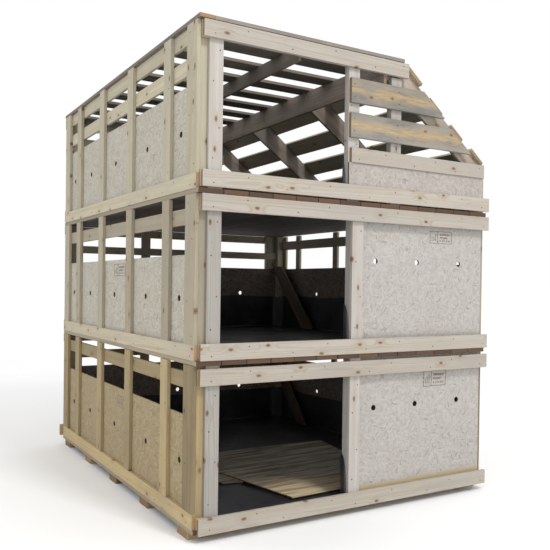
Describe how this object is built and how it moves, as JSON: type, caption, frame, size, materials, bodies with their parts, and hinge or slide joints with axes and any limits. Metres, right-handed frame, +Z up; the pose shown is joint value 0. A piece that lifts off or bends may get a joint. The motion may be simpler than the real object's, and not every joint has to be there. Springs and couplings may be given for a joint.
{
  "type": "shipping crate",
  "caption": "stack of slatted timber livestock pens on skids, each with a door opening at the front, and a sloped side on the top pen",
  "frame": {"origin": "middle of the base, on the ground under the skids", "axes": "+Z up, the front with the door openings faces -Y, the sloped side of the top pen is on +X"},
  "size_m": [2.41, 2.753, 2.984],
  "materials": {
    "pine_front": "sawn pine, pale",
    "pine_side": "sawn pine, greyed",
    "pine_ochre": "sawn pine, ochre",
    "osb": "oriented strand board, unsanded",
    "weathered_board": "weathered grey board",
    "deck_boards": "sawn boards, stained brown",
    "plywood": "used plywood, matt",
    "liner_membrane": "black polythene membrane, satin"
  },
  "bodies": {
    "lower_tier": {"lower_back_frame": "pine_ochre", "lower_back_osb": "osb", "lower_brace": "pine_ochre", "lower_deck": "deck_boards", "lower_door_jamb": "pine_front", "lower_front_bottom_rail": "pine_front", "lower_front_left_stud": "pine_front", "lower_front_osb": "osb", "lower_front_top_rail": "pine_front", "lower_left_frame": "pine_ochre", "lower_left_osb": "osb", "lower_liner": "liner_membrane", "lower_right_frame": "pine_ochre", "lower_right_osb": "osb", "skid_1": "pine_ochre", "skid_2": "pine_ochre", "skid_3": "pine_ochre", "skid_4": "pine_ochre", "skid_5": "pine_ochre", "loose_offcut": "plywood"},
    "middle_tier": {"middle_back_frame": "pine_side", "middle_back_osb": "osb", "middle_brace": "pine_side", "middle_deck": "deck_boards", "middle_door_jamb": "pine_front", "middle_front_bottom_rail": "pine_front", "middle_front_left_stud": "pine_front", "middle_front_osb": "osb", "middle_front_top_rail": "pine_front", "middle_left_frame": "pine_side", "middle_left_osb": "osb", "middle_liner": "liner_membrane", "middle_right_frame": "pine_side", "middle_right_osb": "osb"},
    "upper_tier": {"roof_boards": "pine_side", "slope_frame": "pine_side", "slope_slat_1": "pine_side", "slope_slat_2": "pine_side", "slope_slat_3": "pine_side", "slope_slat_4": "pine_side", "upper_back_frame": "pine_side", "upper_back_osb": "osb", "upper_deck": "deck_boards", "upper_door_jamb": "pine_front", "upper_front_bottom_rail": "pine_front", "upper_front_left_stud": "pine_front", "upper_front_osb": "osb", "upper_front_top_rail": "pine_front", "upper_left_frame": "pine_side", "upper_left_osb": "osb", "upper_liner": "liner_membrane", "upper_middle_rail": "pine_front", "upper_middle_stud": "pine_front", "upper_right_frame": "pine_side", "upper_right_osb": "osb", "upper_weathered_slat_1": "weathered_board", "upper_weathered_slat_2": "weathered_board"},
    "loose_sheet": {"loose_sheet": "plywood"}
  },
  "joints": [
    {"name": "middle_tier_lift", "type": "slide", "parent": "lower_tier", "child": "middle_tier", "axis": [0, 0, 1], "range_m": [0, 0.3]},
    {"name": "upper_tier_lift", "type": "slide", "parent": "middle_tier", "child": "upper_tier", "axis": [0, 0, 1], "range_m": [0, 0.3]},
    {"name": "sheet_lift", "type": "slide", "parent": "lower_tier", "child": "loose_sheet", "axis": [0, 0, 1], "range_m": [0, 0.3]}
  ]
}
